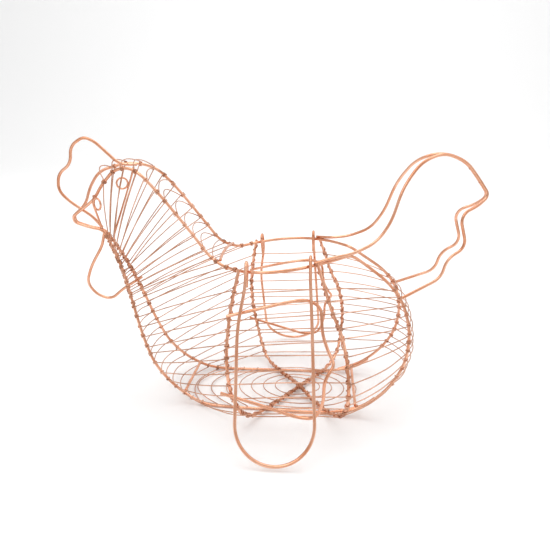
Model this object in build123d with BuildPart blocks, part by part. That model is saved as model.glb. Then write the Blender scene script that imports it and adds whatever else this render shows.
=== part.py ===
from build123d import *
from math import atan2, cos, pi, radians, sin, tan
import os

# Hen-shaped wire egg and produce basket, in millimetres.
# +X runs from the beak to the tail, the left side is -Y, +Z is up and Z = 0 is the table.
# A station is (x, half width, z): the left piece has y = -half width, the right one y = +half width.

os.makedirs("parts", exist_ok=True)

# --- driving dimensions -------------------------------------------------------------------------
wire_d = 2.8              # frame, rib, wing, comb, wattle, tail and handle wire
eye_d = 1.9               # eye wire
weave_d = 1.0             # woven wire
wire_r = wire_d / 2
weave_r = weave_d / 2
pair_y = wire_r + 0.04    # half spacing of two frame wires that run side by side

hoops = 12                # woven hoops round each side of the body
floor_rings = 4           # woven ovals on the floor
floor_arcs = (-16.0, -31.0, -46.0)   # x where each arc in front of the ovals leaves the base wires
arc_reach = 28.0          # how far such an arc stands out toward the breast
neck_wires = 12           # woven wires on each side of the neck
cross_x = 31.0            # where the two ribs cross on the floor

hinge_front = (-11.0, 56.9, 145.2)   # station of each handle's front hook, on the rim wire
hinge_rear = (43.5, 52.7, 150.3)     # station of its rear hook
bail_front = (-13.5, 126.0, 3.8)     # lower corners of the hanging bail, before rounding
bail_rear = (52.5, 126.0, 3.8)
hook_gap = 4.3            # hook wire centre to rim wire centre
hook_rise = 4.0           # how far the hook's straight sides reach above the hinge line
hook_tail = 13.0          # how far the hook's cut end reaches below the hinge line

# --- stations of the outlines --------------------------------------------------------------------
neck_back = [(-122, 20, 229), (-109, 25, 223), (-92, 26.5, 205), (-62, 27, 167)]
rim = [(-51, 28.5, 152), (-35, 37.5, 143.5), (-13, 57, 145), (9, 64.5, 147), (33, 60, 149.5),
       (59, 42, 151.5), (80, 16.5, 151.5)]
rump = [(92, 17, 143.5), (114, 21.5, 128), (128, 26.5, 110), (135, 32.5, 84), (132, 37.5, 55),
        (118, 41.5, 31)]
base = [(45, 41.5, wire_r), (-20, 39.5, wire_r), (-55, 38, wire_r + 0.3), (-73, 34, 6.5)]
breast = [(-94, 29.5, 20), (-111, 26, 39), (-122.5, 21, 67), (-131, 16, 97), (-141, 9, 129),
          (-150.5, 5, 150)]
throat = [(-160, pair_y, 167.5)]
beak = [(-173, pair_y, 169.5), (-195.5, pair_y, 176.5)]
left_head = [(-176, 3, 189.5), (-162.5, 8.5, 198.5), (-153, 13, 211), (-137, 18, 226.5)]
right_head = [(-178, 4, 191), (-175, 10, 207), (-166, 15, 222.5), (-140, 19, 230)]

rib_front = [(-17.5, 56.6, 146.6), (-21, 62, 130), (-25, 67, 108), (-27, 78, 77), (-24, 84, 47),
             (-17, 78, 21), (-8, 61, 6), (3, 44, 4.2), (17, 24, 4.2)]
rib_rear = [(49.5, 52.2, 152), (56, 58.5, 133), (63, 61, 112), (72, 66, 93), (77, 79, 72),
            (78.5, 88, 50), (77.5, 81, 29), (72, 62, 11), (60, 41, 4.2), (46, 21, 4.2)]
wing = [(-27, 70.2, 109), (4, 68.3, 117), (25, 65.5, 122), (41, 64, 124.5), (53.5, 66.5, 119),
        (55, 73.5, 97), (61, 80.5, 83), (66, 86, 76), (57.5, 92, 64), (57.5, 93.5, 44),
        (51, 91, 26.5), (34, 88, 25.5), (10, 87, 33), (-31, 86.7, 44.5)]
tail = [(47, 52, 152.6), (62, 40, 154.8), (79, 36.5, 157.5), (100, 31, 167), (112, 28, 185),
        (121, 21, 214), (136, 14.5, 235), (157, 5, 242), (177, pair_y, 234), (189, pair_y, 219),
        (199, pair_y, 205), (191, 4, 197), (173.5, 11, 188.5), (182, 10, 159.5), (165.5, 13, 149),
        (161.5, 14, 131), (126.5, 23.9, 114)]
comb = [(-122, 230), (-138.5, 230.2), (-161, 251), (-171, 255), (-184.5, 247), (-186.5, 230),
        (-200, 221), (-202, 205), (-192, 194.5), (-170, 180), (-161.5, 169.5)]
wattle = [(-160.5, 163.5), (-164, 151), (-178, 129), (-184, 112), (-175, 99.5), (-160, 95),
          (-147, 106.5), (-126, 119.8)]


# --- wire helpers --------------------------------------------------------------------------------
def place(station, side):
    """Put a station on the left (side = -1) or on the right (side = +1)."""
    return (station[0], side * station[1], station[2])


def bend_radii(points):
    """The largest tangent radius that each corner's two runs allow."""
    spots = [Vector(*point) for point in points]
    radii = []
    for before, corner, after in zip(spots, spots[1:], spots[2:]):
        arriving = corner - before
        leaving = after - corner
        turn = radians(arriving.get_angle(leaving))
        radii.append(0.45 * min(arriving.length, leaving.length) / tan(turn / 2))
    return radii


def bend_wire(points, diameter):
    """Inside a BuildPart: a round wire along straight runs joined by tangent bends."""
    with BuildLine() as path:
        FilletPolyline(*points, radius=bend_radii(points))
    with BuildSketch(Plane(origin=path.line @ 0, z_dir=path.line % 0)) as section:
        Circle(diameter / 2)
    sweep(sections=section.sketch, path=path.line)


def bow_wire(start, middle, end, diameter):
    """Inside a BuildPart: a round wire bent to one arc through three places."""
    with BuildLine() as path:
        ThreePointArc(start, middle, end)
    with BuildSketch(Plane(origin=path.line @ 0, z_dir=path.line % 0)) as section:
        Circle(diameter / 2)
    sweep(sections=section.sketch, path=path.line)


def straight_wire(start, end, diameter):
    """Inside a BuildPart: a straight round wire."""
    with BuildLine() as path:
        Line(start, end)
    with BuildSketch(Plane(origin=path.line @ 0, z_dir=path.line % 0)) as section:
        Circle(diameter / 2)
    sweep(sections=section.sketch, path=path.line)


def along(stations, share):
    """The place at a share (0 to 1) of the length of a run of stations."""
    lengths = [(Vector(*b) - Vector(*a)).length for a, b in zip(stations, stations[1:])]
    left = share * sum(lengths)
    for a, b, length in zip(stations, stations[1:], lengths):
        if left <= length:
            return tuple(p + (q - p) * left / length for p, q in zip(a, b))
        left -= length
    return tuple(stations[-1])


def outward(station, distance, centre=(20.0, 0.0, 75.0)):
    """Move a station straight away from the middle of the body."""
    away = (Vector(*station) - Vector(*centre)).normalized()
    return tuple(Vector(*station) + away * distance)


def between(a, b, share, bow=0.0):
    """A place between two places, pushed away from the middle of the body by bow."""
    middle = tuple(p + (q - p) * share for p, q in zip(a, b))
    return outward(middle, bow)


def finish(piece, label):
    """Name a finished piece and write it."""
    piece.part.label = label
    export_step(piece.part, f"parts/{label}.step")


# --- side frames: one loop of wire each, lap-welded at the back of the base ------------------------
lap_front = 74
lap_rear = 106
heads = {"left": left_head, "right": right_head}
for name, side in (("left", -1), ("right", 1)):
    lap_start = [(lap_rear, 40.4, 19.5), (96, 40.8, 11.2), (lap_front, 41.6, 3.6)]
    lap_end = [(98, 43.6, 12.8), (lap_front, 44.5, 3.6)]
    head = heads[name]
    loop = lap_start + base + breast + throat + beak + head + neck_back + rim + rump + lap_end
    with BuildPart() as side_frame:
        bend_wire([place(station, side) for station in loop], wire_d)
    finish(side_frame, f"{name}_side_frame")

# --- comb and wattle: loops in the middle plane, held between the two side frames ------------------
with BuildPart() as comb_loop:
    bend_wire([(x, 0, z) for x, z in comb], wire_d)
finish(comb_loop, "comb")

with BuildPart() as wattle_loop:
    bend_wire([(x, 0, z) for x, z in wattle], wire_d)
finish(wattle_loop, "wattle")

# --- tail wires ------------------------------------------------------------------------------------
for name, side in (("left", -1), ("right", 1)):
    with BuildPart() as tail_wire:
        bend_wire([place(station, side) for station in tail], wire_d)
    finish(tail_wire, f"{name}_tail")

# --- ribs: each runs down one side, across the floor and up the other side -------------------------
hump_z = rib_front[-1][2] + wire_d          # the second rib lies on the first where they cross
humps = {"first_rib": [], "second_rib": [(25.5, 9.5, hump_z), (37.5, -8.5, hump_z)]}
for name, side in (("first_rib", -1), ("second_rib", 1)):
    down = [place(station, side) for station in rib_front]
    up = [place(station, -side) for station in reversed(rib_rear)]
    with BuildPart() as rib:
        bend_wire(down + humps[name] + up, wire_d)
    finish(rib, name)

# --- wings -------------------------------------------------------------------------------------------
for name, side in (("left", -1), ("right", 1)):
    with BuildPart() as wing_wire:
        bend_wire([place(station, side) for station in wing], wire_d)
    finish(wing_wire, f"{name}_wing")

# --- bars between the side frames ----------------------------------------------------------------------
with BuildPart() as front_base_bar:
    straight_wire((-79, -31, 12), (-79, 31, 12), wire_d)
finish(front_base_bar, "front_base_bar")

with BuildPart() as rear_base_bar:
    straight_wire((88, -41, 11.0), (88, 41, 11.0), wire_d)
finish(rear_base_bar, "rear_base_bar")

with BuildPart() as mouth_front_bar:
    bow_wire((-38.5, -33, 148.4), (-40, 0, 150.5), (-38.5, 33, 148.4), wire_d)
finish(mouth_front_bar, "mouth_front_bar")

# --- eyes: a thin stem with a ring welded to its side -----------------------------------------------
ring_r = 5.3
stems = {
    "left": ((-161.5, -11.5, 201.5), (-162.5, -13, 195), (-159.8, -5.2, 170.5)),
    "right": ((-132.5, 19.5, 226.2), (-138.3, 20.4, 210.5), (-153.2, 7, 162)),
}
for name, side in (("left", -1), ("right", 1)):
    top, middle, bottom = stems[name]
    ring_facing = Vector(-0.53, side * 0.85, 0).normalized()
    toward_ring = Vector(0.85, -0.53, 0) if side < 0 else Vector(-0.85, -0.53, 0)
    ring_centre = Vector(*middle) + toward_ring.normalized() * (ring_r + eye_d + 0.05)
    with BuildPart() as eye:
        bend_wire((top, middle, bottom), eye_d)
        with BuildLine(Plane(origin=ring_centre, z_dir=ring_facing)) as ring_path:
            CenterArc((0, 0), ring_r, 0, 360)
        with BuildSketch(Plane(origin=ring_path.line @ 0, z_dir=ring_path.line % 0)) as ring_section:
            Circle(eye_d / 2)
        sweep(sections=ring_section.sketch, path=ring_path.line)
    finish(eye, f"{name}_eye")

# --- handles: bails that hang from the rim on two open hooks ------------------------------------------
for name, side in (("left", -1), ("right", 1)):
    front = Vector(*place(hinge_front, side))
    rear = Vector(*place(hinge_rear, side))
    low_front = Vector(*place(bail_front, side))
    low_rear = Vector(*place(bail_rear, side))
    hanging = ((low_front + low_rear) - (front + rear)).normalized()
    outside = hanging.cross(rear - front).normalized() * side * -1
    hook_r = hook_gap * 0.98
    bail_r = (low_rear - low_front).length * 0.49

    def hook(hinge):
        """The hook's corners, from its cut end over the rim wire to the top of its leg."""
        top = hanging * -(hook_rise + hook_r)
        return [hinge + hanging * hook_tail - outside * hook_gap, hinge + top - outside * hook_gap,
                hinge + top + outside * hook_gap, hinge + hanging * hook_tail + outside * hook_gap]

    waist_front = front + (low_front - front) * 0.3 + outside * hook_gap * 0.3 - Vector(4.5, 0, 0)
    waist_rear = rear + (low_rear - rear) * 0.3 + outside * hook_gap * 0.3
    corners = hook(front) + [waist_front, low_front, low_rear, waist_rear] + hook(rear)[::-1]
    radii = bend_radii(corners)
    radii[0] = radii[1] = radii[-1] = radii[-2] = hook_r
    radii[4] = radii[5] = bail_r
    with BuildPart() as handle:
        with BuildLine() as handle_path:
            FilletPolyline(*corners, radius=radii)
        with BuildSketch(Plane(origin=handle_path.line @ 0, z_dir=handle_path.line % 0)) as section:
            Circle(wire_r)
        sweep(sections=section.sketch, path=handle_path.line)
    finish(handle, f"{name}_handle")
    print(name, "handle turns about", front, (rear - front).normalized())

# --- woven hoops on the sides: front, middle and rear fields between the frame wires -------------------
# The middle hoops lean in a little, so that they pass inside the wings.
clear = wire_r + weave_r + 0.3
hoop_inset = 0.04         # share of a field left free at each end, beside the frame wire
rear_edge = rump[1:] + [(98, 43.6, 12.8)]
front_edge = [base[2], base[3]] + breast[:4]
hoop_shares = [(level + 0.6) / (hoops + 0.4) for level in range(hoops)]


def hoop_places(share):
    """Where one hoop crosses the breast frame, both ribs and the rear frame."""
    on_breast = along(front_edge, 0.97 * share)
    on_front = along(rib_front[:7][::-1], 0.94 * share)
    on_rear = along(rib_rear[:8][::-1], 0.94 * share)
    on_tail = along(rear_edge[::-1], 0.98 * share)
    return [outward(place, clear) for place in (on_breast, on_front, on_rear, on_tail)]


fields = {"front": (0, 1, 3.0), "middle": (1, 2, -0.6), "rear": (2, 3, 4.0)}
for name, side in (("left", -1), ("right", 1)):
    for field, (first, last, bow) in fields.items():
        with BuildPart() as weave:
            for share in hoop_shares:
                places = hoop_places(share)
                start = between(places[first], places[last], hoop_inset)
                end = between(places[first], places[last], 1 - hoop_inset)
                middle = between(start, end, 0.5, bow)
                bow_wire(place(start, side), place(middle, side), place(end, side), weave_d)
        finish(weave, f"{name}_{field}_weave")

# --- woven wires across the breast and across the rump and rear ------------------------------------------
def bulge(share):
    """How far a crossing wire stands out along X: the low ones are ovals, the high ones nearly straight."""
    return 2.0 + 15.0 * (1 - share) ** 2


with BuildPart() as breast_weave:
    for share in hoop_shares[1:]:
        edge = outward(along(front_edge, 0.97 * share), clear)
        inner = (edge[0], edge[1] - wire_d, edge[2])
        middle = (edge[0] - bulge(share), 0, edge[2])
        bow_wire(place(inner, -1), middle, place(inner, 1), weave_d)
finish(breast_weave, "breast_weave")

rear_shares = hoop_shares + [1.0]
with BuildPart() as rear_weave:
    for share in rear_shares[1:]:
        edge = outward(along(rear_edge[::-1], 0.98 * share), clear)
        inner = (edge[0], edge[1] - wire_d, edge[2])
        middle = (edge[0] + bulge(share) + 1.0, 0, edge[2])
        bow_wire(place(inner, -1), middle, place(inner, 1), weave_d)
finish(rear_weave, "rear_weave")

# --- floor rings: ovals in four arcs between the rib arms -------------------------------------------------
ring_gap = 12.5
first_ring = (23.0, 17.0)
floor_z = 4.2
rib_arms = [radians(arm) for arm in (-120.2, -54.5, 54.5, 120.2)]
with BuildPart() as floor_weave:
    for level in range(floor_rings):
        half_long = first_ring[0] + ring_gap * level
        half_wide = first_ring[1] + ring_gap * 0.62 * level
        room = 2.6 / half_wide
        crossings = [atan2(sin(arm) / half_wide, cos(arm) / half_long) for arm in rib_arms]
        for begin, stop in zip(crossings, crossings[1:] + crossings[:1]):
            if stop < begin:
                stop += 2 * pi
            arc = []
            for turn in (begin + room, (begin + stop) / 2, stop - room):
                arc.append((cross_x + half_long * cos(turn), half_wide * sin(turn), floor_z))
            bow_wire(*arc, weave_d)
    for x in floor_arcs:
        bow_wire((x, -38, floor_z), (x - arc_reach, 0, floor_z), (x, 38, floor_z), weave_d)
finish(floor_weave, "floor_weave")

# --- neck: woven wires fan from the throat to the neck's back, and loop across the back --------------------
throat_edge = breast[3:] + [(-156, 3.2, 160)]
back_edge = [(-52, 28.2, 154)] + neck_back[::-1]
neck_shares = [level / (neck_wires - 1) for level in range(neck_wires)]
for name, side in (("left", -1), ("right", 1)):
    with BuildPart() as neck_weave:
        for share in neck_shares:
            low = along(throat_edge, 0.06 + 0.9 * share)
            high = along(back_edge, 0.04 + 0.84 * share)
            start = (low[0] + 1.5, low[1] + clear, low[2] + 1.0)
            end = (high[0] - 2.0, high[1] + clear - 0.8, high[2] - 1.0)
            middle = tuple((a + b) / 2 for a, b in zip(start, end))
            middle = (middle[0], middle[1] + 2.5, middle[2])
            bow_wire(place(start, side), place(middle, side), place(end, side), weave_d)
    finish(neck_weave, f"{name}_neck_weave")

with BuildPart() as neck_back_loops:
    for share in neck_shares:
        edge = along(back_edge, 0.04 + 0.84 * share)
        rise = 7.0
        start = (edge[0] + 1.2, edge[1] - 1.0, edge[2] + 1.4)
        middle = (edge[0] + rise, 0, edge[2] + rise)
        bow_wire(place(start, -1), middle, place(start, 1), weave_d)
finish(neck_back_loops, "neck_back_loops")
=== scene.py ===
# %% [markdown]
# # A hen-shaped wire basket
# The thick wires are the basket's frame. They come from the CAD model, which stays as it is and
# only gets a better finish. The thin wire is what a basket maker adds by hand: it is carried
# round the body from one frame wire to the next and turned round each one. It is made here.

# %% Load the frame
import math
import random

import bpy
from mathutils import Matrix, Vector
from mathutils.bvhtree import BVHTree


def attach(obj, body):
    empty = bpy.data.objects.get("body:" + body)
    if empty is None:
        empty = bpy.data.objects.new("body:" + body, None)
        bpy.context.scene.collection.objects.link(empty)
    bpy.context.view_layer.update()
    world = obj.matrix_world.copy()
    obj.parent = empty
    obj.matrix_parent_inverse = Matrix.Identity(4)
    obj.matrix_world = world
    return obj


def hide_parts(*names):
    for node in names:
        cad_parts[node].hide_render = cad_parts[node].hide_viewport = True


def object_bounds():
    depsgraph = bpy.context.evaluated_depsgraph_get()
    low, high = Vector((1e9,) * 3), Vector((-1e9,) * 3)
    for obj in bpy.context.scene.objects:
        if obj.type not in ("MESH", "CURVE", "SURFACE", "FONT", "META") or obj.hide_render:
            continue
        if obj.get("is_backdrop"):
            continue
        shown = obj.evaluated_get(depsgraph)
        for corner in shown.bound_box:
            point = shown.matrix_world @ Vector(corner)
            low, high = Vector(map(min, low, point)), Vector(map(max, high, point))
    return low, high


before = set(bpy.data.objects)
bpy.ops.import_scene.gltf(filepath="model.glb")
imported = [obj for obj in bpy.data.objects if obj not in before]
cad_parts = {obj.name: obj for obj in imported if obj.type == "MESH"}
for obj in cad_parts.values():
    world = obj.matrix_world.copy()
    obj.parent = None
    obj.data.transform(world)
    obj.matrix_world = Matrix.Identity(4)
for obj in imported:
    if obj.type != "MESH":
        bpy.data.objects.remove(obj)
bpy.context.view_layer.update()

# %% [markdown]
# ## Node trees written as Python
# Both shaders and Geometry Nodes are graphs of nodes. Building them link by link hides the sum
# being worked out, so one small class wraps a socket and lets + - * / add the Math nodes.


# %% A socket that does sums, and a graph that adds nodes
class Sock:
    """One output socket. Arithmetic on it adds Math nodes to its graph."""

    def __init__(self, graph, socket):
        self.graph = graph
        self.socket = socket

    def sum(self, operation, first, second):
        return self.graph.node("ShaderNodeMath", {"operation": operation}, {0: first, 1: second})

    def __add__(self, other):
        return self.sum("ADD", self, other)

    def __radd__(self, other):
        return self.sum("ADD", other, self)

    def __sub__(self, other):
        return self.sum("SUBTRACT", self, other)

    def __rsub__(self, other):
        return self.sum("SUBTRACT", other, self)

    def __mul__(self, other):
        return self.sum("MULTIPLY", self, other)

    def __rmul__(self, other):
        return self.sum("MULTIPLY", other, self)

    def __truediv__(self, other):
        return self.sum("DIVIDE", self, other)

    def __rtruediv__(self, other):
        return self.sum("DIVIDE", other, self)


class Graph:
    """A node tree with one method that adds any node."""

    def __init__(self, tree):
        self.tree = tree

    def node(self, kind, settings=None, inputs=None, output=0):
        made = self.tree.nodes.new(kind)
        for name, value in (settings or {}).items():
            setattr(made, name, value)
        for key, value in (inputs or {}).items():
            if isinstance(value, Sock):
                self.tree.links.new(value.socket, made.inputs[key])
            else:
                made.inputs[key].default_value = value
        return Sock(self, made.outputs[output])

    def link(self, source, kind, key=0):
        """Joins a socket to the tree's own output node of that kind."""
        made = next((n for n in self.tree.nodes if n.bl_idname == kind), None)
        made = made or self.tree.nodes.new(kind)
        self.tree.links.new(source.socket, made.inputs[key])


# %% [markdown]
# ## The copper finish
# Drawn wire is not one even colour. It is pinker and brighter where it has been rubbed and
# browner where it has been handled or heated, over a few centimetres. Along with that go fine
# draw marks well under a millimetre across, which break up the reflections. Two sizes of noise
# on Object coordinates give both, so the pattern stays on the wire when a handle swings.


# %% Wire metal
PATCHES_PER_M = 42.0
MARKS_PER_M = 1100.0
MARK_DEPTH = 0.0001


def wire_metal(name, bright, deep, smoothest, roughest, grain):
    """A copper finish between two colours and two roughnesses, with draw marks of a strength."""
    metal = bpy.data.materials.new(name)
    metal.use_nodes = True
    metal.node_tree.nodes.clear()
    g = Graph(metal.node_tree)
    place = g.node("ShaderNodeTexCoord", output="Object")
    patches = g.node("ShaderNodeTexNoise", {},
                     {"Vector": place, "Scale": PATCHES_PER_M, "Detail": 3.0})
    marks = g.node("ShaderNodeTexNoise", {},
                   {"Vector": place, "Scale": MARKS_PER_M, "Detail": 2.0})
    handling = g.node("ShaderNodeMapRange", {}, {"Value": patches * 0.75 + marks * 0.25,
                                                 "From Min": 0.36, "From Max": 0.64})
    colour = g.node("ShaderNodeMix", {"data_type": "RGBA"},
                    {0: handling, 6: (*bright, 1), 7: (*deep, 1)}, output=2)
    roughness = smoothest + (roughest - smoothest) * (handling * 0.6 + marks * 0.4)
    bump = g.node("ShaderNodeBump", {},
                  {"Height": marks, "Strength": grain, "Distance": MARK_DEPTH})
    shader = g.node("ShaderNodeBsdfPrincipled", {},
                    {"Base Color": colour, "Metallic": 1.0, "Roughness": roughness,
                     "Normal": bump})
    g.link(shader, "ShaderNodeOutputMaterial")
    print("finish", name)
    return metal


frame_copper = wire_metal("frame_copper", (0.90, 0.51, 0.35), (0.66, 0.29, 0.16),
                          smoothest=0.10, roughest=0.26, grain=0.20)
woven_copper = wire_metal("woven_copper", (0.78, 0.44, 0.30), (0.46, 0.22, 0.13),
                          smoothest=0.22, roughest=0.40, grain=0.30)
weld_copper = wire_metal("weld_copper", (0.72, 0.38, 0.25), (0.46, 0.22, 0.13),
                         smoothest=0.34, roughest=0.55, grain=0.60)

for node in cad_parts.values():
    for material_slot in node.material_slots:
        material_slot.material = frame_copper

# %% [markdown]
# ## Where the thick wires run
# The thin wire has to sit on the thick ones, so their centre lines are needed. They are measured
# on the CAD meshes: from a place inside a wire, rays to four sides give its centre, and a short
# step along the wire gives the next place.

# %% Follow a thick wire's centre line
mm = 0.001
FRAME_R = 1.4 * mm
THIN_R = 0.5 * mm
STEP = 1.2 * mm
MOST_POINTS = 2500


def surface(node):
    """A CAD node's skin, to cast rays at and measure gaps to."""
    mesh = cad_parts[node].data
    return BVHTree.FromPolygons([v.co.copy() for v in mesh.vertices],
                                [tuple(p.vertices) for p in mesh.polygons])


def follow(node, start, toward):
    """Centre points of a wire from its end at start, heading toward the second place."""
    skin = surface(node)
    spot, heading = Vector(start) * mm, (Vector(toward) - Vector(start)).normalized()
    spot += heading * STEP
    line = []
    while len(line) < MOST_POINTS:
        across = heading.orthogonal().normalized()
        for way in (across, heading.cross(across)):
            ahead = skin.ray_cast(spot, way, 3 * FRAME_R)
            behind = skin.ray_cast(spot, -way, 3 * FRAME_R)
            if ahead[0] is None or behind[0] is None:
                return line
            spot = spot + way * (ahead[3] - behind[3]) / 2
        if line:
            heading = (spot - line[-1]).normalized()
        line.append(spot.copy())
        spot = spot + heading * STEP
    return line


loops = {}
for side, sign in (("left", -1), ("right", 1)):
    loops[side] = follow(f"{side}_side_frame", (106, sign * 40.4, 19.5), (96, sign * 40.8, 11.2))
ribs = {"first_rib": follow("first_rib", (-17.5, -56.6, 146.6), (-21, -62, 130)),
        "second_rib": follow("second_rib", (-17.5, 56.6, 146.6), (-21, 62, 130))}
for name, line in {**loops, **ribs}.items():
    print("followed", name, len(line), "points,", round(len(line) * STEP * 1000), "mm")


# %% Cut stretches out of the centre lines
def stretch(line, start, stop):
    """The part of a line between the points nearest two places, from start to stop."""
    near = [min(range(len(line)), key=lambda i: (line[i] - Vector(p) * mm).length_squared)
            for p in (start, stop)]
    if near[0] <= near[1]:
        return line[near[0]:near[1] + 1]
    return line[near[1]:near[0] + 1][::-1]


def crossing(part, share):
    """The centre and direction of a wire at a share of its stretch."""
    i = min(len(part) - 3, max(2, round(share * (len(part) - 1))))
    return part[i], (part[i + 2] - part[i - 2]).normalized()


parts = {}
for side, s in (("left", -1), ("right", 1)):
    front_rib = ribs["first_rib" if side == "left" else "second_rib"]
    rear_rib = ribs["second_rib" if side == "left" else "first_rib"]
    parts[side] = {
        "breast": stretch(loops[side], (-55, s * 38, 1.7), (-131, s * 16, 97)),
        "front_rib": stretch(front_rib, (-8, s * 61, 6), (-17.5, s * 56.6, 146.6)),
        "rear_rib": stretch(rear_rib, (72, s * 62, 11), (49.5, s * 52.2, 152)),
        "rump": stretch(loops[side], (118, s * 41.5, 31), (114, s * 21.5, 128)),
        "throat": stretch(loops[side], (-129, s * 17, 92), (-158, s * 2.4, 163)),
        "nape": stretch(loops[side], (-44, s * 32, 148), (-150, s * 14, 214)),
        "shoulder": stretch(loops[side], (-20, s * 50, 144.5), (-44, s * 32, 148)),
        "base": stretch(loops[side], (45, s * 41.5, 1.4), (-55, s * 38, 1.7))}
    print(side, {name: len(part) for name, part in parts[side].items()})

# %% [markdown]
# ## The woven wire
# Each hoop is one wire that goes right round the body. At every frame wire it comes in over the
# outside, is turned round it once or twice and goes on. The turns are a short helix whose radius
# is the two wires' radii added up. Between the turns the wire bows out a little, and never by
# quite the same amount, because it is pulled tight by hand.

# %% One wire through a row of crossings
chance = random.Random(7)
BODY_CENTRE = Vector((20, 0, 75)) * mm
TURN_POINTS = 14
SWING_IN = math.radians(65)
SPAN_STEP = 5 * mm


def turned_round(centre, axis, before, out, turns):
    """A helix round a thick wire: in over the outside, round it, and out the other way."""
    out = (out - axis * out.dot(axis)).normalized()
    across = axis.cross(out)
    way = 1 if (before - centre).dot(across) > 0 else -1
    sweep = math.tau * turns + 2 * SWING_IN
    climb = 2 * THIN_R * chance.uniform(1.05, 1.5) * chance.choice((-1, 1))
    count = round(TURN_POINTS * sweep / math.tau)
    helix = []
    for i in range(count + 1):
        angle = way * (SWING_IN - sweep * i / count)
        radius = FRAME_R + THIN_R * chance.uniform(1.0, 1.25)
        helix.append(centre + (out * math.cos(angle) + across * math.sin(angle)) * radius
                     + axis * climb * (sweep * i / count / math.tau - turns / 2))
    return helix


def span(start, stop, bow, out):
    """The points between two crossings: a shallow arc with a slight hand-made wave."""
    count = max(3, round((stop - start).length / SPAN_STEP))
    wave, phase = chance.uniform(-0.5, 0.5) * mm, chance.uniform(0, math.tau)
    points = []
    for i in range(1, count):
        t = i / count
        swell = 4 * t * (1 - t)
        lift = bow * swell + wave * swell * math.sin(phase + 5 * t)
        points.append(start.lerp(stop, t) + out * lift)
    return points


def crosses_middle(start, stop):
    """Whether a span goes from the left side to the right one."""
    return start.y * stop.y < 0


def woven(crossings, bows, closed):
    """One thin wire through (centre, axis, outward, turns) at each crossing.

    It bows out from the body between them, and over the middle it bows along and up only.
    """
    helices = []
    for i, (centre, axis, out, turns) in enumerate(crossings):
        before = crossings[i - 1][0] if i or closed else 2 * centre - crossings[1][0]
        helices.append(turned_round(centre, axis, before, out, turns))
    wire = []
    for i, helix in enumerate(helices):
        wire += helix
        if i + 1 < len(helices) or closed:
            following = helices[(i + 1) % len(helices)]
            out = (helix[-1] + following[0]) / 2 - BODY_CENTRE
            if crosses_middle(helix[-1], following[0]):
                out = Vector((out.x, 0, max(out.z, 0)))
            wire += span(helix[-1], following[0], bows[i], out.normalized())
    return wire


# %% The hoops round the body
HOOPS = 12
ROUND = [("left", "breast"), ("left", "front_rib"), ("left", "rear_rib"), ("left", "rump"),
         ("right", "rump"), ("right", "rear_rib"), ("right", "front_rib"), ("right", "breast")]
REACH = {"breast": 0.97, "front_rib": 0.94, "rear_rib": 0.94, "rump": 0.98}
SIDE_BOWS = [3.0 * mm, -0.6 * mm, 4.0 * mm]
RUMP_BOW, BREAST_BOW = 3 * mm, 2 * mm
LOW_BULGE = 15 * mm

hoops = []
for level in range(HOOPS):
    share = (level + 0.6) / (HOOPS + 0.4)
    row = []
    for side, part in ROUND:
        uneven = chance.uniform(-0.006, 0.006)
        centre, axis = crossing(parts[side][part], REACH[part] * share + uneven)
        row.append((centre, axis, centre - BODY_CENTRE, chance.choice((1, 1, 2, 2))))
    bulge = LOW_BULGE * (1 - share) ** 2
    bows = SIDE_BOWS + [RUMP_BOW + bulge] + SIDE_BOWS[::-1] + [BREAST_BOW + bulge]
    hoops.append(woven(row, bows, closed=True))
print("hoops", len(hoops), "with", sum(map(len, hoops)), "points")

# %% [markdown]
# ## The neck
# From the throat the wires fan back to the nape, cross over it in a loose loop that stands proud
# of the two frame wires, and come down the other side. The loops are slack, since nothing inside
# the neck holds them out.

# %% The neck wires
NECK_WIRES = 12
NECK_ROUND = [("left", "throat"), ("left", "nape"), ("right", "nape"), ("right", "throat")]
# Where the first wire meets each stretch, and how far along it the others spread, as shares.
SPREAD = {"throat": (0.22, 0.75), "nape": (0.02, 0.96)}
neck = []
for level in range(NECK_WIRES):
    share = level / (NECK_WIRES - 1)
    row = []
    for side, part in NECK_ROUND:
        begin, spread = SPREAD[part]
        uneven = chance.uniform(-0.01, 0.01)
        centre, axis = crossing(parts[side][part], begin + spread * share + uneven)
        out = Vector((0, -1 if side == "left" else 1, 0)) + (centre - BODY_CENTRE) * 2
        row.append((centre, axis, out, chance.choice((1, 2, 2))))
    slack = chance.uniform(5.5, 10.5) * mm
    neck.append(woven(row, [1.5 * mm, slack, 1.5 * mm, 0.6 * mm], closed=True))
print("neck wires", len(neck))

# %% [markdown]
# ## The shoulders
# The fan of the neck and the hoops of the body leave a bare corner where the neck meets the rim.
# A few strands fill it on each side, from low on the throat up to the rim. They end there, so
# unlike the hoops they are not closed.

# %% The shoulder strands
SHOULDER_STRANDS = 3
SHOULDER_BOW = 3.5 * mm
strands = []
for side in ("left", "right"):
    for level in range(SHOULDER_STRANDS):
        share = level / (SHOULDER_STRANDS - 1)
        low, low_axis = crossing(parts[side]["throat"], 0.01 + 0.14 * share)
        high, high_axis = crossing(parts[side]["shoulder"], 0.05 + 0.9 * share)
        row = [(low, low_axis, low - BODY_CENTRE, 1), (high, high_axis, high - BODY_CENTRE, 2)]
        strands.append(woven(row, [SHOULDER_BOW], closed=False))
print("shoulder strands", len(strands))

# %% [markdown]
# ## The floor
# Under the body the thin wire goes round the crossing of the two ribs in ovals that open out
# evenly, turned once round each of the four rib arms.

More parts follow.
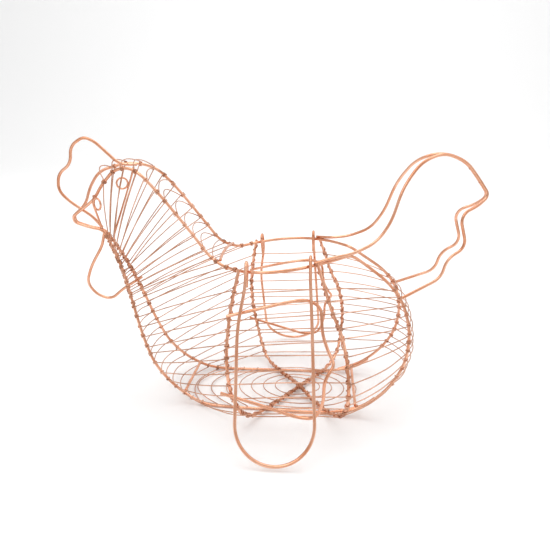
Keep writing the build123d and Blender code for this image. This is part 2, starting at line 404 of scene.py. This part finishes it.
# %% The floor ovals
FLOOR_RINGS = 4
CROSS_X = 31.0
FIRST_RING = (23.0, 17.0)    # half length and half width of the innermost ring
RING_GAP = (12.5, 7.75)      # how much both grow from each ring to the next
FLOOR_HEIGHT = 12 * mm
QUARTER_POINTS = 12
floor_rings = []
for level in range(FLOOR_RINGS):
    half = [first + gap * level for first, gap in zip(FIRST_RING, RING_GAP)]

    def off_oval(p):
        """How far a place is off the ring, as a share of the ring's size."""
        return abs(math.hypot((p.x / mm - CROSS_X) / half[0], p.y / mm / half[1]) - 1)

    met = []
    for line in ribs.values():
        low = [i for i in range(2, len(line) - 2) if line[i].z < FLOOR_HEIGHT]
        for keep in (lambda p: p.x < CROSS_X * mm, lambda p: p.x >= CROSS_X * mm):
            i = min((i for i in low if keep(line[i])), key=lambda i: off_oval(line[i]))
            met.append((line[i], (line[i + 2] - line[i - 2]).normalized()))
    met.sort(key=lambda m: math.atan2(m[0].y, m[0].x - CROSS_X * mm))
    helices = [turned_round(c, a, met[k - 1][0], Vector((0, 0, 1)), 1)
               for k, (c, a) in enumerate(met)]
    oval = []
    for k, helix in enumerate(helices):
        oval += helix
        after = helices[(k + 1) % len(helices)][0]
        angles = [math.atan2(p.y / half[1], (p.x - CROSS_X * mm) / half[0])
                  for p in (helix[-1], after)]
        if angles[1] < angles[0]:
            angles[1] += math.tau
        for i in range(1, QUARTER_POINTS):
            t = i / QUARTER_POINTS
            turn = angles[0] + (angles[1] - angles[0]) * t
            oval.append(Vector((CROSS_X * mm + half[0] * mm * math.cos(turn),
                                half[1] * mm * math.sin(turn),
                                helix[-1].z + (after.z - helix[-1].z) * t)))
    floor_rings.append(oval)
print("floor ovals", len(floor_rings))

# %% [markdown]
# ## In front of the ovals
# Between the ovals and the breast the floor is filled by arcs that bulge forward, each from one
# base wire to the other. They go part of the way round each base wire, without a full turn.

# %% The floor arcs
FLOOR_ARCS = (-16.0, -31.0, -46.0)
ARC_REACH = 28 * mm
arcs = []
for x in FLOOR_ARCS:
    row = []
    for side in ("left", "right"):
        base = parts[side]["base"]
        i = min(range(2, len(base) - 2), key=lambda i: abs(base[i].x - x * mm))
        row.append((base[i], (base[i + 2] - base[i - 2]).normalized(), Vector((0, 0, 1)), 0))
    arcs.append(woven(row, [ARC_REACH], closed=False))
print("floor arcs", len(arcs))

# %% [markdown]
# ## From a line to a wire
# So far each wire is a row of points. A Geometry Nodes tree sweeps a round section along it. The
# wander input moves the line by a smooth noise first, so that no stretch is quite straight.


# %% The tube tree
WANDER_PER_M = 60.0
TUBE_SIDES = 7


def new_tree(name, sizes):
    """An empty tree with geometry in and out, and one named input for each size."""
    tree = bpy.data.node_groups.new(name, "GeometryNodeTree")
    tree.interface.new_socket("Geometry", in_out="INPUT", socket_type="NodeSocketGeometry")
    for label, value in sizes.items():
        made = tree.interface.new_socket(label, in_out="INPUT", socket_type="NodeSocketFloat")
        made.default_value = value
    tree.interface.new_socket("Geometry", in_out="OUTPUT", socket_type="NodeSocketGeometry")
    return tree


def tube_tree(material):
    """Lines in, round tubes of one material out."""
    tree = new_tree(f"tube_of_{material.name}", {"Wire radius": THIN_R, "Wander": 0.0})
    g = Graph(tree)
    given = tree.nodes.new("NodeGroupInput")
    names = ("Geometry", "Wire radius", "Wander")
    line, radius, wander = (Sock(g, given.outputs[k]) for k in names)
    curve = g.node("GeometryNodeMeshToCurve", {}, {"Mesh": line})
    noise = g.node("ShaderNodeTexNoise", {}, {"Scale": WANDER_PER_M, "Detail": 1.0},
                   output="Color")
    centred = g.node("ShaderNodeVectorMath", {"operation": "SUBTRACT"},
                     {0: noise, 1: (0.5, 0.5, 0.5)})
    moved = g.node("ShaderNodeVectorMath", {"operation": "SCALE"}, {0: centred, "Scale": wander})
    curve = g.node("GeometryNodeSetPosition", {}, {"Geometry": curve, "Offset": moved})
    section = g.node("GeometryNodeCurvePrimitiveCircle", {},
                     {"Resolution": TUBE_SIDES, "Radius": radius})
    tube = g.node("GeometryNodeCurveToMesh", {},
                  {"Curve": curve, "Profile Curve": section, "Fill Caps": True})
    tube = g.node("GeometryNodeSetShadeSmooth", {}, {"Geometry": tube})
    tube = g.node("GeometryNodeRealizeInstances", {}, {"Geometry": tube})
    tube = g.node("GeometryNodeSetMaterial", {}, {"Geometry": tube, "Material": material})
    g.link(tube, "NodeGroupOutput")
    return tree


def grow(name, lines, tree, sizes, closed=False):
    """Turns lines into one plain mesh by a tree, with the tree's inputs set by identifier."""
    points, edges = [], []
    for line in lines:
        first = len(points)
        points += line
        edges += [(first + i, first + i + 1) for i in range(len(line) - 1)]
        if closed:
            edges.append((len(points) - 1, first))
    mesh = bpy.data.meshes.new(f"{name}_lines")
    mesh.from_pydata(points, edges, [])
    holder = bpy.data.objects.new(f"{name}_lines", mesh)
    bpy.context.scene.collection.objects.link(holder)
    grown = holder.modifiers.new("grow", "NODES")
    grown.node_group = tree
    for socket in tree.interface.items_tree:
        if socket.in_out == "INPUT" and socket.name in sizes:
            grown[socket.identifier] = sizes[socket.name]
    depsgraph = bpy.context.evaluated_depsgraph_get()
    made = bpy.data.meshes.new_from_object(holder.evaluated_get(depsgraph), depsgraph=depsgraph)
    made.name = name
    bpy.data.objects.remove(holder)
    piece = bpy.data.objects.new(name, made)
    bpy.context.scene.collection.objects.link(piece)
    print("made", name, len(made.polygons), "faces")
    return piece


# %% Make the woven pieces
thin_tube = tube_tree(woven_copper)
THIN_WIRE = {"Wire radius": THIN_R, "Wander": 0.6 * mm}
body_hoops = grow("body_hoops", hoops, thin_tube, THIN_WIRE, closed=True)
neck_fan = grow("neck_fan", neck, thin_tube, THIN_WIRE, closed=True)
shoulder_strands = grow("shoulder_strands", strands, thin_tube, THIN_WIRE)
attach(shoulder_strands, "basket")
floor_ovals = grow("floor_ovals", floor_rings, thin_tube, THIN_WIRE, closed=True)
front_arcs = grow("floor_arcs", arcs, thin_tube, THIN_WIRE)
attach(front_arcs, "basket")
WEAVES = {
    body_hoops: ["breast_weave", "left_front_weave", "left_middle_weave", "left_rear_weave",
                 "right_front_weave", "right_middle_weave", "right_rear_weave", "rear_weave"],
    neck_fan: ["left_neck_weave", "right_neck_weave", "neck_back_loops"],
    floor_ovals: ["floor_weave"]}
for piece, nodes in WEAVES.items():
    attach(piece, "basket")
    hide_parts(*nodes)

# %% [markdown]
# ## Binding along the ribs and at the floor crossing
# The ribs look rough from end to end because the maker carries the thin wire down them from one
# hoop to the next. The tree winds a helix round any line: it turns the curve's own normal about
# the tangent by an angle that grows with the length. Noise in that angle keeps the pitch uneven.


# %% The binding tree
BINDING_STEP = 0.7 * mm
BINDING_SIDES = 6
UNEVEN_PER_M = 60.0


def binding_tree(material):
    """Lines in, a thin wire wound round each out."""
    tree = new_tree("binding", {"Wire radius": THIN_R, "Frame radius": FRAME_R, "Pitch": 0.01,
                                "Unevenness": 1.0, "Seed": 3.0})
    g = Graph(tree)
    given = tree.nodes.new("NodeGroupInput")
    names = ("Geometry", "Wire radius", "Frame radius", "Pitch", "Unevenness", "Seed")
    line, radius, core, pitch, uneven, seed = (Sock(g, given.outputs[k]) for k in names)
    curve = g.node("GeometryNodeMeshToCurve", {}, {"Mesh": line})
    curve = g.node("GeometryNodeResampleCurve", {"mode": "LENGTH"},
                   {"Curve": curve, "Length": BINDING_STEP})
    length = g.node("GeometryNodeSplineParameter", output="Length")
    noise = g.node("ShaderNodeTexNoise", {"noise_dimensions": "1D"},
                   {"W": length * UNEVEN_PER_M + seed, "Scale": 1.0})
    angle = length * math.tau / pitch + (noise - 0.5) * uneven * math.tau
    tangent = g.node("GeometryNodeInputTangent")
    normal = g.node("GeometryNodeInputNormal")
    turned = g.node("ShaderNodeVectorRotate", {"rotation_type": "AXIS_ANGLE"},
                    {"Vector": normal, "Axis": tangent, "Angle": angle})
    loose = core + radius * (1.0 + noise * 0.5)
    offset = g.node("ShaderNodeVectorMath", {"operation": "SCALE"},
                    {0: turned, "Scale": loose})
    curve = g.node("GeometryNodeSetPosition", {}, {"Geometry": curve, "Offset": offset})
    section = g.node("GeometryNodeCurvePrimitiveCircle", {},
                     {"Resolution": BINDING_SIDES, "Radius": radius})
    tube = g.node("GeometryNodeCurveToMesh", {},
                  {"Curve": curve, "Profile Curve": section, "Fill Caps": True})
    tube = g.node("GeometryNodeSetShadeSmooth", {}, {"Geometry": tube})
    tube = g.node("GeometryNodeRealizeInstances", {}, {"Geometry": tube})
    tube = g.node("GeometryNodeSetMaterial", {}, {"Geometry": tube, "Material": material})
    g.link(tube, "NodeGroupOutput")
    return tree


# %% Bind the ribs, the throat and the floor crossing
binding = binding_tree(woven_copper)
BARE_ENDS = 4                # points at each end of a rib that are left unbound
CROSS_REACH = 13 * mm        # how far from the crossing the close binding goes
rib_lines = [line[BARE_ENDS:-BARE_ENDS] for line in ribs.values()]
rib_binding = grow("rib_binding", rib_lines, binding,
                   {"Pitch": 9.5 * mm, "Unevenness": 1.2, "Seed": 3.0})
cross_lines = [[p for p in line if math.hypot(p.x - CROSS_X * mm, p.y) < CROSS_REACH]
               for line in ribs.values()]
cross_binding = grow("cross_binding", cross_lines, binding,
                     {"Pitch": 2.4 * mm, "Unevenness": 1.6, "Seed": 11.0})
throat_lines = [parts[side]["throat"] for side in ("left", "right")]
throat_binding = grow("throat_binding", throat_lines, binding,
                      {"Pitch": 8.0 * mm, "Unevenness": 1.4, "Seed": 19.0})
for piece in (rib_binding, cross_binding, throat_binding):
    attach(piece, "basket")

# %% [markdown]
# ## Weld beads
# Where two frame wires meet, a spot weld leaves a small lump. The places are measured too: there
# is one bead wherever the surfaces of two frame nodes come within touching distance.


# %% Find where frame wires touch
TOUCHING = 0.25 * mm
BEAD_SPACING = 12 * mm
BASKET_WIRES = ["comb", "wattle", "first_rib", "second_rib", "front_base_bar", "rear_base_bar",
                "mouth_front_bar", "left_tail", "right_tail", "left_wing", "right_wing",
                "left_eye", "right_eye", "left_side_frame", "right_side_frame"]
skins = {name: surface(name) for name in BASKET_WIRES}
weld_places = []
for i, first in enumerate(BASKET_WIRES):
    for second in BASKET_WIRES[i + 1:]:
        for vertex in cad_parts[first].data.vertices:
            spot = skins[second].find_nearest(vertex.co, TOUCHING)[0]
            if spot is not None and all((p - spot).length > BEAD_SPACING for p in weld_places):
                weld_places.append((spot + vertex.co) / 2)
print("weld places", len(weld_places))


# %% Put a bead at each
BEAD_R = 1.6 * mm
BEAD_DENTS = 1.2 * mm


def bead_tree(material):
    """Points in, an uneven lump of metal at each out."""
    tree = new_tree("beads", {"Bead radius": BEAD_R})
    g = Graph(tree)
    given = tree.nodes.new("NodeGroupInput")
    spots, radius = (Sock(g, given.outputs[k]) for k in ("Geometry", "Bead radius"))
    points = g.node("GeometryNodeMeshToPoints", {}, {"Mesh": spots})
    lump = g.node("GeometryNodeMeshIcoSphere", {}, {"Radius": radius, "Subdivisions": 3})
    size = g.node("FunctionNodeRandomValue", {"data_type": "FLOAT"},
                  {2: 0.85, 3: 1.2, "Seed": 5}, output=1)
    beads = g.node("GeometryNodeInstanceOnPoints", {},
                   {"Points": points, "Instance": lump, "Scale": size})
    # The lumps are made real here, so that the noise dents each one in its own way.
    beads = g.node("GeometryNodeRealizeInstances", {}, {"Geometry": beads})
    noise = g.node("ShaderNodeTexNoise", {}, {"Scale": 700.0, "Detail": 1.0}, output="Color")
    uneven = g.node("ShaderNodeVectorMath", {"operation": "SUBTRACT"},
                    {0: noise, 1: (0.5, 0.5, 0.5)})
    uneven = g.node("ShaderNodeVectorMath", {"operation": "SCALE"},
                    {0: uneven, "Scale": BEAD_DENTS})
    beads = g.node("GeometryNodeSetPosition", {}, {"Geometry": beads, "Offset": uneven})
    beads = g.node("GeometryNodeSetShadeSmooth", {}, {"Geometry": beads})
    beads = g.node("GeometryNodeRealizeInstances", {}, {"Geometry": beads})
    beads = g.node("GeometryNodeSetMaterial", {}, {"Geometry": beads, "Material": material})
    g.link(beads, "NodeGroupOutput")
    return tree


weld_beads = grow("weld_beads", [[p] for p in weld_places], bead_tree(weld_copper),
                  {"Bead radius": BEAD_R})
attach(weld_beads, "basket")

# %% [markdown]
# ## Floor and light
# Bright wire shows what is round it, so the room matters more than the lamps. A white room with a
# few broad lights gives each wire a pale line on top and a darker one below. The floor curves up
# into a backdrop, so that no edge shows behind the basket.

# %% Floor that curves up into a backdrop
BACK, BEND, TOP, WIDTH, FRONT = 2.2, 1.4, 4.0, 30.0, -20.0
BEND_STEPS = 24
profile = [(FRONT, 0.0)]
profile += [(BACK + BEND * math.sin(a), BEND - BEND * math.cos(a))
            for a in (math.pi / 2 * i / BEND_STEPS for i in range(BEND_STEPS + 1))]
profile += [(BACK + BEND, TOP)]
corners = [(x, y, z) for y, z in profile for x in (-WIDTH / 2, WIDTH / 2)]
faces = [(2 * i, 2 * i + 1, 2 * i + 3, 2 * i + 2) for i in range(len(profile) - 1)]
sweep = bpy.data.meshes.new("floor")
sweep.from_pydata(corners, [], faces)
sweep.shade_smooth()
floor = bpy.data.objects.new("floor", sweep)
bpy.context.scene.collection.objects.link(floor)
paint = bpy.data.materials.new("floor_paint")
paint.use_nodes = True
coat = paint.node_tree.nodes["Principled BSDF"]
coat.inputs["Base Color"].default_value = (0.95, 0.95, 0.95, 1)
coat.inputs["Roughness"].default_value = 0.9
floor.data.materials.append(paint)
floor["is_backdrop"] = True
print("floor", len(faces), "strips,", WIDTH, "m wide")

# %% Light
world = bpy.data.worlds.new("room")
bpy.context.scene.world = world
world.use_nodes = True
world.node_tree.nodes.clear()
g = Graph(world.node_tree)
direction = g.node("ShaderNodeTexCoord", output="Generated")
height = g.node("ShaderNodeSeparateXYZ", {}, {"Vector": direction}, output=2)
glow = g.node("ShaderNodeMapRange", {}, {"Value": height, "From Min": 0.05, "From Max": 0.7,
                                         "To Min": 0.62, "To Max": 0.85})
room = g.node("ShaderNodeBackground", {}, {"Color": (1, 1, 1, 1), "Strength": glow})
g.link(room, "ShaderNodeOutputWorld")


def lamp(name, place, target, size, power):
    """A square lamp at a place, aimed at a target. The size is in metres, the power in watts."""
    light = bpy.data.lights.new(name, "AREA")
    light.size = size
    light.energy = power
    holder = bpy.data.objects.new(name, light)
    holder.location = place
    aim = Vector(target) - Vector(place)
    holder.rotation_euler = aim.to_track_quat("-Z", "Y").to_euler()
    bpy.context.scene.collection.objects.link(holder)
    print("lamp", name, power, "W")


lamp("key_light", (-0.9, -1.2, 2.0), (0, 0, 0.1), 1.4, 10)
lamp("fill_light", (1.6, -0.8, 1.6), (0, 0, 0.1), 1.4, 4.5)
lamp("backdrop_light", (0.0, 0.9, 2.6), (0, 2.4, 0.5), 2.4, 30)

bpy.context.scene.view_settings.view_transform = "Standard"

# %% [markdown]
# ## The camera
# It stands about half a metre away at the left side, a little above the rim, and looks down, so
# that the mouth shows as an oval and the floor shows through it. A lens this wide from so near
# makes the near side clearly larger than the far one.

# %% Camera
eye = Vector((0.0530, -0.4552, 0.2666))
yaw, pitch, roll = math.radians(-5.65), math.radians(17.15), math.radians(-0.14)
forward = Vector((math.sin(yaw) * math.cos(pitch), math.cos(yaw) * math.cos(pitch),
                  -math.sin(pitch)))
lens = bpy.data.cameras.new("camera")
lens.sensor_width = 36.0
lens.lens = 32.2
lens.clip_start = 0.01
camera = bpy.data.objects.new("camera", lens)
turn = forward.to_track_quat("-Z", "Y").to_matrix().to_4x4()
camera.matrix_world = Matrix.Translation(eye) @ turn @ Matrix.Rotation(roll, 4, "Z")
bpy.context.scene.collection.objects.link(camera)
bpy.context.scene.camera = camera
print("camera", round(eye.length, 3), "m from the origin")

# %% Sizes, and finish
low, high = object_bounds()
print("visual box", [round(v, 4) for v in low], [round(v, 4) for v in high])
